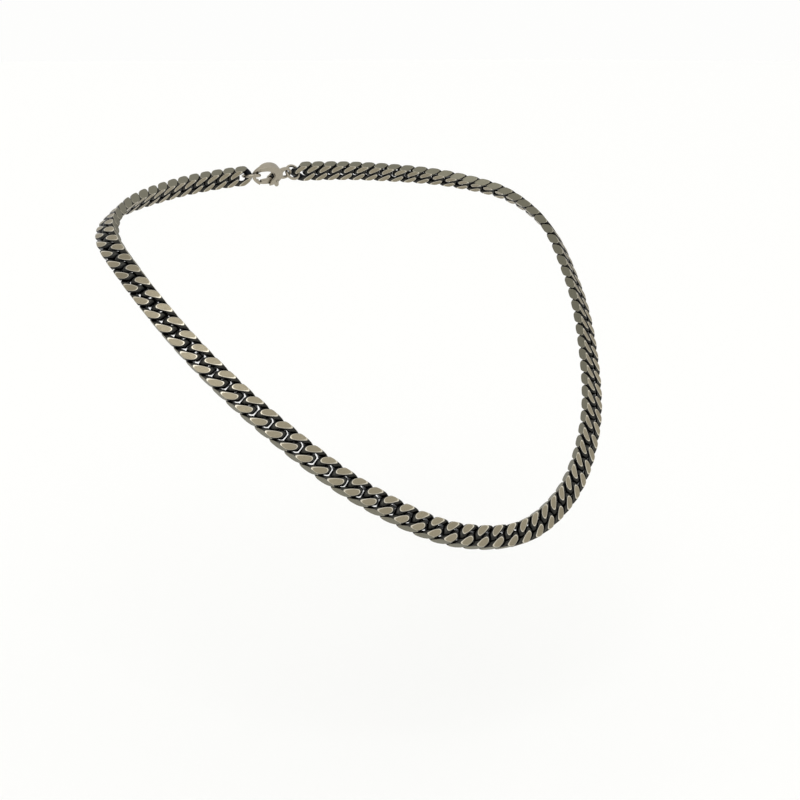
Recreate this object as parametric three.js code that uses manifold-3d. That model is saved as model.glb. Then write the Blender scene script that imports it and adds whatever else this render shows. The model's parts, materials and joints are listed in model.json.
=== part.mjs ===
// Flat-cut curb chain necklace, clasped at the nape as it is worn.
// Units are millimetres, +Z is up, the front of the necklace faces -Y and the wearer's left is +X.
// The origin is on the neck's axis, level with the links that lie on the shoulders.

import * as THREE from 'three';
import * as BufferGeometryUtils from 'three/addons/utils/BufferGeometryUtils.js';
import Module from 'manifold-3d';

const wasm = await Module();
wasm.setup();

// ---- driving dimensions ------------------------------------------------------------------------

const PITCH = 5.0;               // from one link's centre to the next
const LINKS_PER_SIDE = 48;       // from the front middle to the clasp, on each side
const LINKS_PER_NODE = 2;        // neighbours that share one node

const LINK = {
  halfLength: 3.7,               // centreline of the wire, along the chain
  halfWidth: 2.5,                // centreline of the wire, across the chain
  wireRadius: 0.97,
  twist: THREE.MathUtils.degToRad(55),   // of each end bow, out of the link's plane
  width: 6.3,                    // over the flats on the two edges
  thickness: 2.9,                // over the flats on the front and the back
  stepsRound: 12,
  stepsOfWire: 5,
};

const CLASP = {
  play: 0.1,                     // between a ring and what it bears on
  eyePlay: 0.35,                 // between the jump ring and the inside of the eye
  hookPlay: 0.5,                 // between the catch ring and the inside of the hook
  ringTilt: THREE.MathUtils.degToRad(32),   // of both rings about the chain's length
  jumpRing: { radius: 2.45, wire: 0.5 },
  catchRing: { radius: 2.8, wire: 0.55 },
  thickness: 3.4,                // of the body at the pivot
  endThickness: 1.2,             // of the hook's tip
  fullUntil: 0.5,                // the body thins from here towards the hook's tip
  thinsAbout: 4.0,
  halfWidth: 3.9,
  hookWall: 1.2,
  eye: { outerRadius: 2.25, holeRadius: 1.35, thickness: 0.9, root: 0.6, shoulder: 0.7 },
  opening: { y: -0.2, halfLength: 3.55, halfWidth: 2.35 },
  gate: { mouthStart: 1.2, mouthEnd: 4.9, throatStart: 0.2, throatEnd: 4.1 },
  slot: { bottom: -0.95, top: 1.0, tail: -4.4, heel: -3.3, end: 3.0, inner: -0.2 },
  below: -6,                     // past the lower edge of everything in the clasp
  pivot: { x: -1.9, y: -2.0 },
  pinRadius: 0.4,
  pinHole: 0.48,
  pinStandsOut: 0.15,
};

const LEVER = {
  bottom: -0.85,
  top: 0.25,
  nose: { x: 4.0, y: -2.05, edgeX: 4.45, edgeY: -3.2 },
  innerBend: { x: 1.2, y: -1.6 },
  outerBend: { x: 1.6, y: -3.75 },
  thumbStart: { x: -1.2, y: -3.3 },
  thumbTip: { x: -2.3, y: -4.9 },
  thumbBend: { x: -3.2, y: -5.1 },
  thumbEnd: { x: -3.5, y: -4.4 },
  heel: { x: -3.0, y: -2.2 },
  heelBend: { x: -2.85, y: -1.3 },
  rootX: -0.2,                   // from the pivot
  rootY: 0.9,
};

const SPRING = { radius: 0.74, wire: 0.12, turns: 2, bottom: 0.42, top: 0.82, leg: 1.4, legShare: 0.12 };

// The neck's axis at the shoulders, from the middle of the chain at the front.
const NECK = { y: 78.5, z: 73.5 };

// Where the chain lies, on the wearer's left: x, y and z from its middle at the front, and the
// lean of its face above level, in degrees.
const DRAPE = [
  [0, 0, 0, 34],
  [20.2, 3.2, 3.8, 44],
  [43.0, 14.6, 17.5, 49],
  [59.7, 31.6, 34.9, 51],
  [72.1, 51.4, 53.7, 48],
  [78.5, 75.0, 72.2, 50],
  [77.1, 90.8, 79.0, 55],
  [66.4, 108.2, 83.4, 50],
  [43.0, 122.5, 86.6, 36],
  [0, 129.7, 88.5, 28],
];

// ---- finishes ----------------------------------------------------------------------------------

function metal(color, roughness, metalness) {
  return new THREE.MeshStandardMaterial({ color, roughness, metalness });
}

const chainMetal = metal(0x8d8574, 0.42, 0.9);
const claspMetal = metal(0x857d6c, 0.34, 0.9);
const springMetal = metal(0x9a9a96, 0.3, 1.0);

// ---- solids ------------------------------------------------------------------------------------

function toSolid(geometry) {
  const bare = new THREE.BufferGeometry();
  bare.setAttribute('position', geometry.getAttribute('position').clone());
  if (geometry.index) bare.setIndex(geometry.index.clone());
  const merged = BufferGeometryUtils.mergeVertices(bare, 1e-5);
  return new wasm.Manifold(new wasm.Mesh({
    numProp: 3,
    vertProperties: Float32Array.from(merged.attributes.position.array),
    triVerts: Uint32Array.from(merged.index.array),
  }));
}

function toGeometry(solid) {
  const mesh = solid.getMesh();
  const geometry = new THREE.BufferGeometry();
  geometry.setAttribute('position', new THREE.BufferAttribute(mesh.vertProperties, 3));
  geometry.setIndex(new THREE.BufferAttribute(mesh.triVerts, 1));
  geometry.computeVertexNormals();
  return geometry;
}

function extruded(shape, bottom, top, curveSegments = 12) {
  const geometry = new THREE.ExtrudeGeometry(shape, {
    depth: top - bottom, bevelEnabled: false, curveSegments,
  });
  return toSolid(geometry.translate(0, 0, bottom));
}

function ellipse(x, y, halfLength, halfWidth) {
  const shape = new THREE.Shape();
  shape.absellipse(x, y, halfLength, halfWidth, 0, Math.PI * 2, false, 0);
  return shape;
}

function upright(radius, x, y, bottom, top, sides = 12) {
  const cylinder = new THREE.CylinderGeometry(radius, radius, top - bottom, sides);
  cylinder.rotateX(Math.PI / 2);
  return toSolid(cylinder.translate(x, y, (bottom + top) / 2));
}

// ---- the route of the chain --------------------------------------------------------------------

const leftSide = DRAPE.slice(1, -1);
const rightSide = leftSide.map(([x, y, z, lean]) => [-x, y, z, lean]).reverse();
const loop = [DRAPE[0], ...leftSide, DRAPE[DRAPE.length - 1], ...rightSide];
const routePoints = loop.map(([x, y, z]) => new THREE.Vector3(x, y, z));
const leanPoints = loop.map((row) => new THREE.Vector3(row[3], 0, 0));
const route = new THREE.CatmullRomCurve3(routePoints, true, 'chordal');
const leans = new THREE.CatmullRomCurve3(leanPoints, true, 'catmullrom');
const UP = new THREE.Vector3(0, 0, 1);

// The parameter one straight chord further along the route.
function stepAlong(from, chord) {
  const start = route.getPoint(from);
  let low = from;
  let high = from + 0.08;
  while (high - low > 1e-9) {
    const middle = (low + high) / 2;
    if (route.getPoint(middle).distanceTo(start) < chord) low = middle;
    else high = middle;
  }
  return low;
}

// Link centres from the front middle to the nape, on the wearer's left.
function routeParameters() {
  const parameters = [];
  let low = 0;
  let high = 0.05;
  while (high - low > 1e-9) {
    const middle = (low + high) / 2;
    if (route.getPoint(middle).x < PITCH / 2) low = middle;
    else high = middle;
  }
  parameters.push(low);
  while (parameters.length < LINKS_PER_SIDE) {
    parameters.push(stepAlong(parameters[parameters.length - 1], PITCH));
  }
  return parameters;
}

// A frame whose X runs along the chain, Y across it and Z out of its face.
function frameAt(position, along, leanDegrees) {
  const tangent = along.clone().normalize();
  const upward = UP.clone().addScaledVector(tangent, -UP.dot(tangent)).normalize();
  const outward = tangent.clone().cross(upward);
  const lean = THREE.MathUtils.degToRad(leanDegrees);
  const face = outward.clone().multiplyScalar(Math.cos(lean)).addScaledVector(upward, Math.sin(lean));
  const across = face.clone().cross(tangent);
  return new THREE.Matrix4().makeBasis(tangent, across, face).setPosition(position);
}

function mirroredPoint(point) {
  return new THREE.Vector3(-point.x, point.y, point.z);
}

const parameters = routeParameters();
const centres = parameters.map((parameter) => route.getPoint(parameter));
const lastGap = centres[LINKS_PER_SIDE - 1].x;
const leanOf = (index) => leans.getPoint(parameters[index]).x;

// side is +1 on the wearer's left and -1 on the wearer's right; index counts from the front.
function linkFrame(side, index) {
  const before = index > 0 ? centres[index - 1] : mirroredPoint(centres[0]);
  const after = index < LINKS_PER_SIDE - 1
    ? centres[index + 1]
    : centres[index].clone().add(new THREE.Vector3(-PITCH, 0, 0));
  if (side > 0) return frameAt(centres[index], after.clone().sub(before), leanOf(index));
  const along = mirroredPoint(before).sub(mirroredPoint(after));
  return frameAt(mirroredPoint(centres[index]), along, leanOf(index));
}

// ---- one link ----------------------------------------------------------------------------------

// The wire's centreline: an oval whose two end bows are turned opposite ways out of its plane.
class CurbCurve extends THREE.Curve {
  getPoint(t, target = new THREE.Vector3()) {
    const angle = t * Math.PI * 2;
    const across = LINK.halfWidth * Math.sin(angle);
    const turn = -LINK.twist * Math.cos(angle);
    return target.set(
      LINK.halfLength * Math.cos(angle),
      across * Math.cos(turn),
      across * Math.sin(turn),
    );
  }
}

function linkSolid() {
  const wire = new THREE.TubeGeometry(
    new CurbCurve(), LINK.stepsRound, LINK.wireRadius, LINK.stepsOfWire, true,
  );
  const points = wire.getAttribute('position');
  for (let i = 0; i < points.count; i += 1) {
    points.setY(i, THREE.MathUtils.clamp(points.getY(i), -LINK.width / 2, LINK.width / 2));
    points.setZ(i, THREE.MathUtils.clamp(points.getZ(i), -LINK.thickness / 2, LINK.thickness / 2));
  }
  return toSolid(wire);
}

const oneLink = linkSolid();

// A bead at the touching bows makes the two links of a node one closed body.
const BEAD_RADIUS = 0.55;

function nodeSolid(side, first) {
  const frames = [linkFrame(side, first), linkFrame(side, first + 1)];
  const [one, two] = frames.map((frame) => oneLink.transform(frame.elements));
  const touch = new THREE.Vector3().setFromMatrixPosition(frames[0])
    .add(new THREE.Vector3().setFromMatrixPosition(frames[1])).multiplyScalar(0.5);
  const bead = new THREE.OctahedronGeometry(BEAD_RADIUS).translate(touch.x, touch.y, touch.z);
  return one.add(two).add(toSolid(bead));
}

// ---- the clasp, in its own frame: X along the chain, Y across it, Z outwards ---------------------

// Each ring bears on the inside of the last link's bow.
const bowInside = lastGap - LINK.halfLength + LINK.wireRadius;
const ringMiddle = ({ radius, wire }) => bowInside + CLASP.play + wire - radius;

function ringSolid(size, side) {
  const ring = new THREE.TorusGeometry(size.radius, size.wire, 6, 16);
  ring.rotateX(Math.PI / 2 + side * CLASP.ringTilt);
  return toSolid(ring.translate(side * ringMiddle(size), 0, 0));
}

// The jump ring's far end sits in the clasp's eye, and the catch ring's in the end of the hook.
const eyeX = CLASP.jumpRing.radius - ringMiddle(CLASP.jumpRing)
  - CLASP.jumpRing.wire - CLASP.eyePlay + CLASP.eye.holeRadius;
const hookEnd = ringMiddle(CLASP.catchRing) - CLASP.catchRing.radius + CLASP.catchRing.wire
  + CLASP.hookPlay;
const bodyStart = eyeX + CLASP.eye.holeRadius + CLASP.eye.shoulder;
const bodyEnd = hookEnd + CLASP.hookWall;

// Seen from the edge, the body is full at the pivot and thins towards the end of the hook.
function edgeProfile() {
  const { thickness, endThickness, fullUntil, thinsAbout } = CLASP;
  const full = thickness / 2;
  const thin = endThickness / 2;
  const thinFrom = bodyEnd - 2;
  const past = 1;
  const profile = new THREE.Shape();
  profile.moveTo(bodyStart - past, full);
  profile.lineTo(fullUntil, full);
  profile.quadraticCurveTo(thinsAbout, full, thinFrom, thin);
  profile.lineTo(bodyEnd + past, thin);
  profile.lineTo(bodyEnd + past, -thin);
  profile.lineTo(thinFrom, -thin);
  profile.quadraticCurveTo(thinsAbout, -full, fullUntil, -full);
  profile.lineTo(bodyStart - past, -full);
  return profile;
}

// The lower wall is open all the way through between the cheeks and the hook's tip.
function gateOutline() {
  const { gate, below } = CLASP;
  const outline = new THREE.Shape();
  outline.moveTo(gate.mouthStart, below);
  outline.lineTo(gate.mouthEnd, below);
  outline.lineTo(gate.throatEnd, 0);
  outline.lineTo(gate.throatStart, 0);
  return outline;
}

// The slot lies between the two cheeks that carry the pin.
function slotOutline() {
  const { slot, below } = CLASP;
  const outline = new THREE.Shape();
  outline.moveTo(slot.tail, below);
  outline.lineTo(slot.end, below);
  outline.lineTo(slot.end, slot.inner);
  outline.lineTo(slot.heel, slot.inner);
  return outline;
}

function claspBodySolid() {
  const { opening, eye, slot, pivot, thickness, halfWidth } = CLASP;
  const half = thickness / 2;
  const middle = (bodyStart + bodyEnd) / 2;
  const plan = extruded(ellipse(middle, 0, (bodyEnd - bodyStart) / 2, halfWidth), -half, half);
  const edgeView = new THREE.ExtrudeGeometry(edgeProfile(), {
    depth: 3 * halfWidth, bevelEnabled: false, curveSegments: 5,
  });
  edgeView.translate(0, 0, -1.5 * halfWidth).rotateX(Math.PI / 2);
  const eyePlate = extruded(
    ellipse(eyeX + eye.root, 0, eye.outerRadius + eye.root, eye.outerRadius),
    -eye.thickness / 2, eye.thickness / 2, 8,
  );
  const hook = extruded(
    ellipse(hookEnd - opening.halfLength, opening.y, opening.halfLength, opening.halfWidth),
    -thickness, thickness, 10,
  );
  return plan.intersect(toSolid(edgeView))
    .add(eyePlate)
    .subtract(upright(eye.holeRadius, eyeX, 0, -thickness, thickness))
    .subtract(hook)
    .subtract(extruded(gateOutline(), -thickness, thickness))
    .subtract(extruded(slotOutline(), slot.bottom, slot.top))
    .subtract(upright(CLASP.pinHole, pivot.x, pivot.y, -thickness, thickness));
}

function leverSolid() {
  const { pivot } = CLASP;
  const { nose, innerBend, outerBend, thumbStart, thumbTip, thumbBend, thumbEnd, heel, heelBend } = LEVER;
  const rootX = pivot.x + LEVER.rootX;
  const rootY = pivot.y + LEVER.rootY;
  const bar = new THREE.Shape();
  bar.moveTo(rootX, rootY);
  bar.quadraticCurveTo(innerBend.x, innerBend.y, nose.x, nose.y);
  bar.lineTo(nose.edgeX, nose.edgeY);
  bar.quadraticCurveTo(outerBend.x, outerBend.y, thumbStart.x, thumbStart.y);
  bar.lineTo(thumbTip.x, thumbTip.y);
  bar.quadraticCurveTo(thumbBend.x, thumbBend.y, thumbEnd.x, thumbEnd.y);
  bar.lineTo(heel.x, heel.y);
  bar.quadraticCurveTo(heelBend.x, heelBend.y, rootX, rootY);
  return extruded(bar, LEVER.bottom, LEVER.top, 4)
    .subtract(upright(CLASP.pinHole, pivot.x, pivot.y, -CLASP.thickness, CLASP.thickness));
}

function pinSolid() {
  const { pivot, pinRadius, thickness, pinStandsOut } = CLASP;
  const reach = thickness / 2 + pinStandsOut;
  return upright(pinRadius, pivot.x, pivot.y, -reach, reach);
}

// A torsion spring round the pin, with one leg along the lever and one along the body.
class SpringCurve extends THREE.Curve {
  getPoint(t, target = new THREE.Vector3()) {
    const { radius, turns, bottom, top, leg, legShare } = SPRING;
    const coiled = THREE.MathUtils.clamp((t - legShare) / (1 - 2 * legShare), 0, 1);
    const angle = 2 * Math.PI * (turns + 0.5) * coiled;
    const firstLeg = (leg * Math.max(0, legShare - t)) / legShare;
    const lastLeg = (leg * Math.max(0, t - 1 + legShare)) / legShare;
    return target.set(
      radius * Math.sin(angle) - firstLeg + lastLeg,
      -radius * Math.cos(angle),
      bottom + (top - bottom) * t,
    );
  }
}

function springSolid() {
  const sides = 5;
  const section = new THREE.Shape();
  for (let corner = 0; corner < sides; corner += 1) {
    const angle = (corner * Math.PI * 2) / sides;
    const x = SPRING.wire * Math.cos(angle);
    const y = SPRING.wire * Math.sin(angle);
    if (corner === 0) section.moveTo(x, y);
    else section.lineTo(x, y);
  }
  const geometry = new THREE.ExtrudeGeometry(section, {
    steps: 34, extrudePath: new SpringCurve(), bevelEnabled: false,
  });
  return toSolid(geometry.translate(CLASP.pivot.x, CLASP.pivot.y, 0));
}

// ---- the necklace ------------------------------------------------------------------------------

const necklace = new THREE.Group();
necklace.position.set(0, -NECK.y, -NECK.z);

function addPart(name, solid, material, parent = necklace) {
  const mesh = new THREE.Mesh(toGeometry(solid), material);
  mesh.name = name;
  parent.add(mesh);
}

const sides = [['left', 1], ['right', -1]];
for (const [sideName, side] of sides) {
  for (let first = 0; first < LINKS_PER_SIDE; first += LINKS_PER_NODE) {
    const number = String(first / LINKS_PER_NODE + 1).padStart(2, '0');
    addPart(`${sideName}_links_${number}`, nodeSolid(side, first), chainMetal);
  }
}

const clasp = new THREE.Group();
const napeMiddle = new THREE.Vector3(0, centres[LINKS_PER_SIDE - 1].y, centres[LINKS_PER_SIDE - 1].z);
clasp.applyMatrix4(frameAt(napeMiddle, new THREE.Vector3(-1, 0, 0), leanOf(LINKS_PER_SIDE - 1)));
necklace.add(clasp);

addPart('clasp_jump_ring', ringSolid(CLASP.jumpRing, -1), claspMetal, clasp);
addPart('catch_ring', ringSolid(CLASP.catchRing, 1), claspMetal, clasp);
addPart('clasp_body', claspBodySolid(), claspMetal, clasp);
addPart('clasp_lever', leverSolid(), claspMetal, clasp);
addPart('lever_pin', pinSolid(), claspMetal, clasp);
addPart('clasp_spring', springSolid(), springMetal, clasp);

export default necklace;
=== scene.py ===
"""A flat-cut curb chain necklace with its clasp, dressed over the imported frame.

The chain lies as it is worn: it runs round a neck that isn't there, with its face turned outwards.
Every link is a swept wire whose front, back and edges were ground flat, blackened all over and then
brushed, so that the flats are bare metal and the hollows stay dark. Lengths inside the classes are in
millimetres, as on the maker's drawing, and are turned into metres where a mesh is made.
"""

import json
import logging
import math
from collections.abc import Callable
from dataclasses import dataclass, field
from enum import Enum

import bmesh
import bpy
import numpy as np
from bpy.types import Material, Mesh, Node, NodeSocket, NodeTree, Object
from mathutils import Matrix, Vector
from mathutils.bvhtree import BVHTree


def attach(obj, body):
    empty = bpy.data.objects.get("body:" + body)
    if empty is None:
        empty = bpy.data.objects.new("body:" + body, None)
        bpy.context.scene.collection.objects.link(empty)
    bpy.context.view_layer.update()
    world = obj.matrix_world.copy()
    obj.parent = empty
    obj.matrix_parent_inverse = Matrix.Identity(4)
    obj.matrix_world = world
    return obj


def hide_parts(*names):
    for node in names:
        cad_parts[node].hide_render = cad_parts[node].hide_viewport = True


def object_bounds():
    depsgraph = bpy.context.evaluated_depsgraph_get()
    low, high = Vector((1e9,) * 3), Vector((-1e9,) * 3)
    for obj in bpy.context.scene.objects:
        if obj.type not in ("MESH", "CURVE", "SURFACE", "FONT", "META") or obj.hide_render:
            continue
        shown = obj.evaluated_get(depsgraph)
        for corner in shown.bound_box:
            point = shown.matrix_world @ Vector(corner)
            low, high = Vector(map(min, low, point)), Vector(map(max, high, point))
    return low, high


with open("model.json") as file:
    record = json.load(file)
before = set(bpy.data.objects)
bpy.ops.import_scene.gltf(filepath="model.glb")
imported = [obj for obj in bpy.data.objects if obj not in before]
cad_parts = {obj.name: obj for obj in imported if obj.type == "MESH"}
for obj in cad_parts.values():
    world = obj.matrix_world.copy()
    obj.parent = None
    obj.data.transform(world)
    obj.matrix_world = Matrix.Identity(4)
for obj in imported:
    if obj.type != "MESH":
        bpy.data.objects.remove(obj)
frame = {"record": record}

Pair = tuple[float, float]
Triple = tuple[float, float, float]
LOG = logging.getLogger("necklace")
CAD_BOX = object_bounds()
MM = 0.001
RNG_SEED = 48
BUMP_HEIGHT = 0.00002
SHADE_RAYS = 40
SHADE_REACH = 3.0
SHADE_START = 0.02
SHADE_GRAZING = 0.05


class Side(Enum):
    """The two arms of the chain; the value is the sign of X."""

    LEFT = 1
    RIGHT = -1


class Slot(Enum):
    """The record's material slots."""

    CHAIN = "blackened_chain"
    CLASP = "clasp_metal"
    SPRING = "spring_steel"


# ---- where the chain lies ----


@dataclass(frozen=True)
class Drape:
    """The line that the chain follows, and the frames of its links, in millimetres.

    stations are x, y, z from the chain's middle at the front and the lean of its face above level in
    degrees, on the wearer's left; the right side is their mirror image.
    """

    pitch: float = 5.0
    links_per_side: int = 48
    neck_y: float = 78.5
    neck_z: float = 73.5
    stations: tuple[tuple[float, float, float, float], ...] = (
        (0, 0, 0, 34),
        (20.2, 3.2, 3.8, 44),
        (43.0, 14.6, 17.5, 49),
        (59.7, 31.6, 34.9, 51),
        (72.1, 51.4, 53.7, 48),
        (78.5, 75.0, 72.2, 50),
        (77.1, 90.8, 79.0, 55),
        (66.4, 108.2, 83.4, 50),
        (43.0, 122.5, 86.6, 36),
        (0, 129.7, 88.5, 28),
    )

    def loop(self) -> np.ndarray:
        """All stations in order round the neck, the right side mirrored."""
        left = np.array(self.stations, float)
        right = left[1:-1][::-1] * (-1, 1, 1, 1)
        return np.vstack([left, right])

    def point(self, at: float) -> np.ndarray:
        """A point of the closed chordal spline through the stations.

        Args:
            at: place on the loop, in stations from the front middle.

        Returns:
            x, y, z and the face's lean in degrees.
        """
        loop = self.loop()
        first = int(math.floor(at))
        t = at - first
        p0, p1, p2, p3 = (loop[(first + step) % len(loop)] for step in (-1, 0, 1, 2))
        d0, d1, d2 = (np.linalg.norm(b[:3] - a[:3]) for a, b in ((p0, p1), (p1, p2), (p2, p3)))
        start = ((p1 - p0) / d0 - (p2 - p0) / (d0 + d1) + (p2 - p1) / d1) * d1
        end = ((p2 - p1) / d1 - (p3 - p1) / (d1 + d2) + (p3 - p2) / d2) * d1
        start[3] = (p2[3] - p0[3]) / 2
        end[3] = (p3[3] - p1[3]) / 2
        cubic = 2 * p1 - 2 * p2 + start + end
        square = -3 * p1 + 3 * p2 - 2 * start - end
        return p1 + start * t + square * t**2 + cubic * t**3

    def _find(self, low: float, high: float, is_before: Callable[[float], bool]) -> float:
        """The place between low and high where is_before turns false, by halving."""
        while high - low > 1e-8:
            middle = (low + high) / 2
            if is_before(middle):
                low = middle
            else:
                high = middle
        return low

    def centres(self) -> np.ndarray:
        """Link centres on the left with the lean of each, from the front middle to the clasp."""
        span = 1.5
        places = [self._find(0.0, span, lambda at: self.point(at)[0] < self.pitch / 2)]
        while len(places) < self.links_per_side:
            last = self.point(places[-1])[:3]
            places.append(self._find(
                places[-1], places[-1] + span,
                lambda at: np.linalg.norm(self.point(at)[:3] - last) < self.pitch,
            ))
        return np.array([self.point(at) for at in places])

    def to_row(self, position: np.ndarray) -> np.ndarray:
        """Moves a point from the front middle's frame to the row frame, still in millimetres."""
        return position - np.array([0.0, self.neck_y, self.neck_z])

    def matrix(self, position: np.ndarray, along: np.ndarray, lean: float) -> Matrix:
        """A frame with X along the chain, Y across it and Z out of its face.

        Args:
            position: the frame's origin, in millimetres from the front middle.
            along: the chain's direction there.
            lean: of the face above level, in degrees.

        Returns:
            The frame in the row frame, in metres, for points given in millimetres.
        """
        tangent = along / np.linalg.norm(along)
        upward = np.array([0.0, 0.0, 1.0]) - tangent * tangent[2]
        upward /= np.linalg.norm(upward)
        outward = np.cross(tangent, upward)
        face = outward * math.cos(math.radians(lean)) + upward * math.sin(math.radians(lean))
        across = np.cross(face, tangent)
        turned = Matrix(np.column_stack([tangent, across, face]).tolist()).to_4x4()
        placed = Matrix.Translation(Vector(self.to_row(position) * MM)) @ turned
        return placed @ Matrix.Scale(MM, 4)

    def link_frames(self, side: Side) -> list[Matrix]:
        """The frames of one side's links, from the front middle to the clasp."""
        centres = self.centres()
        flip = np.array([side.value, 1, 1])
        mirror = np.array([-1, 1, 1])
        points = [centres[0, :3] * mirror, *centres[:, :3], centres[-1, :3] - (self.pitch, 0, 0)]
        found = []
        for i, row in enumerate(centres):
            along = (points[i + 2] - points[i]) * flip * side.value
            found.append(self.matrix(row[:3] * flip, along, row[3]))
        return found

    def nape_frame(self) -> Matrix:
        """The clasp's frame, in the middle of the nape."""
        last = self.centres()[-1]
        middle = np.array([0.0, last[1], last[2]])
        return self.matrix(middle, np.array([-1.0, 0.0, 0.0]), last[3])

    def last_gap(self) -> float:
        """From the nape's middle to the centre of the last link."""
        return float(self.centres()[-1, 0])


# ---- mesh helpers ----


def new_object(name: str, vertices: np.ndarray, faces: list, smooth: bool = True) -> Object:
    """Makes a mesh object in the scene.

    Args:
        name: of the piece.
        vertices: N by 3, in metres.
        faces: lists of vertex numbers.
        smooth: whether the faces are shaded smooth.

    Returns:
        The new object.
    """
    mesh = bpy.data.meshes.new(name)
    mesh.from_pydata(vertices.tolist(), [], faces)
    mesh.polygons.foreach_set("use_smooth", [smooth] * len(mesh.polygons))
    mesh.update()
    made = bpy.data.objects.new(name, mesh)
    bpy.context.scene.collection.objects.link(made)
    return made


def grid_faces(rows: int, columns: int, close_rows: bool = True) -> list[tuple[int, ...]]:
    """Quads of a tube whose rings have that many columns; close_rows joins the last ring to the first."""
    faces = []
    for row in range(rows if close_rows else rows - 1):
        following = (row + 1) % rows
        for column in range(columns):
            beside = (column + 1) % columns
            faces.append((
                row * columns + column,
                following * columns + column,
                following * columns + beside,
                row * columns + beside,
            ))
    return faces


def write_float(mesh: Mesh, name: str, values: np.ndarray) -> None:
    """Stores one number per vertex."""
    made = mesh.attributes.new(name, "FLOAT", "POINT")
    made.data.foreach_set("value", np.asarray(values, np.float32))


def write_vector(mesh: Mesh, name: str, values: np.ndarray) -> None:
    """Stores one vector per vertex."""
    made = mesh.attributes.new(name, "FLOAT_VECTOR", "POINT")
    made.data.foreach_set("vector", np.asarray(values, np.float32).ravel())


def level_off(values: np.ndarray, limit: float, ease: float) -> np.ndarray:
    """Holds values within plus and minus limit, with a rounded turn ease wide on either side of it."""
    size = np.abs(values)
    eased = size - (size - limit + ease) ** 2 / (4 * ease)
    held = np.where(size < limit - ease, size, np.where(size > limit + ease, limit, eased))
    return np.sign(values) * held


def openness_of(
    points: np.ndarray, outwards: np.ndarray, near_points: np.ndarray, near_faces: list,
) -> np.ndarray:
    """How open points of a surface are to what surrounds them.

    Args:
        points: on the surface.
        outwards: a vector out of the surface at each point.
        near_points: vertices of everything that can shade them.
        near_faces: its faces.

    Returns:
        From 0, buried, to 1, in the open, for each point.
    """
    tree = BVHTree.FromPolygons(near_points.tolist(), near_faces)
    golden = math.pi * (3 - math.sqrt(5))
    heights = 1 - 2 * (np.arange(SHADE_RAYS) + 0.5) / SHADE_RAYS
    rounds = np.sqrt(1 - heights**2)
    turns = golden * np.arange(SHADE_RAYS)
    sphere = np.stack([rounds * np.cos(turns), rounds * np.sin(turns), heights], axis=1)
    rays = [Vector(ray) for ray in sphere]
    found = []
    for point, way in zip(points, outwards):
        outward = Vector(way).normalized()
        origin = Vector(point) + outward * SHADE_START
        free = 0.0
        total = 1e-6
        for ray in rays:
            weight = ray.dot(outward)
            if weight > SHADE_GRAZING:
                total += weight
                if tree.ray_cast(origin, ray, SHADE_REACH)[0] is None:
                    free += weight
        found.append(free / total)
    return np.array(found)


# ---- one curb link ----


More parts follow.
